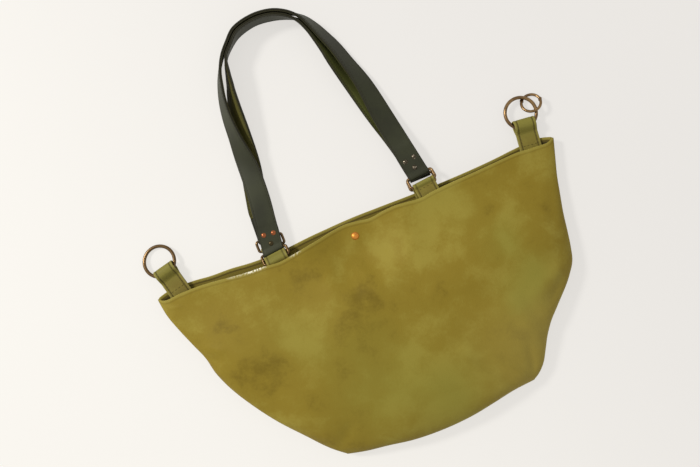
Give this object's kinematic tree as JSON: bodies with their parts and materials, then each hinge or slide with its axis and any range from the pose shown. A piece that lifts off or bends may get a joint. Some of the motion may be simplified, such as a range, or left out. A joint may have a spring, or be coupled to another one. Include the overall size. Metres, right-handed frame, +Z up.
{
  "type": "trapeze bag",
  "caption": "Flat trapeze-shaped leather bag lying on its back, with ringed strap handles, corner rings, a clip ring and a magnetic snap.",
  "frame": {"origin": "centre of the bag's footprint on the table, midway between the mouth corners and about level with the mouth", "axes": "+X along the mouth to the viewer's right, +Y from the bag towards the handles, +Z up from the table"},
  "size_m": [0.501, 0.5217, 0.0399],
  "materials": {
    "body_leather": "waxed, softly mottled",
    "tab_leather": "waxed, darker",
    "strap_leather": "waxed dark face",
    "strap_lining": "olive lining",
    "aged_brass": "antique",
    "copper": "polished head"
  },
  "bodies": {
    "bag": {"back_panel": "body_leather", "front_panel": "body_leather", "back_facing": "body_leather", "front_facing": "body_leather", "snap_back_cap": "copper", "snap_stud": "aged_brass", "snap_socket": "aged_brass", "snap_front_cap": "copper", "front_tab_left": "tab_leather", "front_tab_right": "tab_leather", "back_tab_left": "tab_leather", "back_tab_right": "tab_leather", "corner_tab_left": "tab_leather", "corner_tab_right": "tab_leather"},
    "left_front_ring": {"front_ring_left": "aged_brass"},
    "right_front_ring": {"front_ring_right": "aged_brass"},
    "front_handle": {"front_handle_outer": "strap_leather", "front_handle_lining": "strap_lining", "front_handle_rivets": "copper"},
    "left_back_ring": {"back_ring_left": "aged_brass"},
    "right_back_ring": {"back_ring_right": "aged_brass"},
    "back_handle": {"back_handle_outer": "strap_leather", "back_handle_lining": "strap_lining", "back_handle_rivets": "copper"},
    "left_corner_ring": {"corner_ring_left": "aged_brass"},
    "right_corner_ring": {"corner_ring_right": "aged_brass"},
    "clip_ring": {"clip_ring_body": "aged_brass", "clip_ring_pin": "aged_brass"},
    "clip_gate": {"clip_ring_gate": "aged_brass"}
  },
  "joints": [
    {"name": "left_front_ring_swing", "type": "hinge", "parent": "bag", "child": "left_front_ring", "pos_m": [-0.10065, -0.00902, 0.01701], "axis": [0.9952, 0.0976, 0], "range_deg": [0, 50]},
    {"name": "right_front_ring_swing", "type": "hinge", "parent": "bag", "child": "right_front_ring", "pos_m": [0.08745, 0.00942, 0.01701], "axis": [0.9952, 0.0976, 0], "range_deg": [0, 50]},
    {"name": "front_handle_lift", "type": "hinge", "parent": "left_front_ring", "child": "front_handle", "pos_m": [-0.10175, 0.00215, 0.01224], "axis": [0.9952, 0.0976, 0], "range_deg": [0, 85]},
    {"name": "left_back_ring_swing", "type": "hinge", "parent": "bag", "child": "left_back_ring", "pos_m": [-0.102, 0.0063, 0.0051], "axis": [1, 0, 0], "range_deg": [-60, 0]},
    {"name": "right_back_ring_swing", "type": "hinge", "parent": "bag", "child": "right_back_ring", "pos_m": [0.087, 0.0063, 0.0051], "axis": [1, 0, 0], "range_deg": [-60, 0]},
    {"name": "back_handle_lift", "type": "hinge", "parent": "left_back_ring", "child": "back_handle", "pos_m": [-0.102, 0.01845, 0.00395], "axis": [1, 0, 0], "range_deg": [-70, 0]},
    {"name": "left_corner_ring_swing", "type": "hinge", "parent": "bag", "child": "left_corner_ring", "pos_m": [-0.22591, 0.02581, 0.00768], "axis": [0.974, 0.2267, 0], "range_deg": [-80, 110]},
    {"name": "right_corner_ring_swing", "type": "hinge", "parent": "bag", "child": "right_corner_ring", "pos_m": [0.22128, 0.02654, 0.00768], "axis": [0.9942, -0.108, 0], "range_deg": [-80, 110]},
    {"name": "clip_ring_swing", "type": "hinge", "parent": "right_corner_ring", "child": "clip_ring", "pos_m": [0.23855, 0.04817, 0.00625], "axis": [0.9668, 0.2554, 0], "range_deg": [-60, 0]},
    {"name": "gate_open", "type": "hinge", "parent": "clip_ring", "child": "clip_gate", "pos_m": [0.23024, 0.05431, 0.00249], "axis": [-0.108, 0.4086, 0.9063], "range_deg": [0, 20], "stiffness_Nm_per_rad": 0.02}
  ],
  "couplings": [
    {"joint": "right_front_ring_swing", "follows": "left_front_ring_swing", "ratio": 1},
    {"joint": "right_back_ring_swing", "follows": "left_back_ring_swing", "ratio": 1}
  ]
}
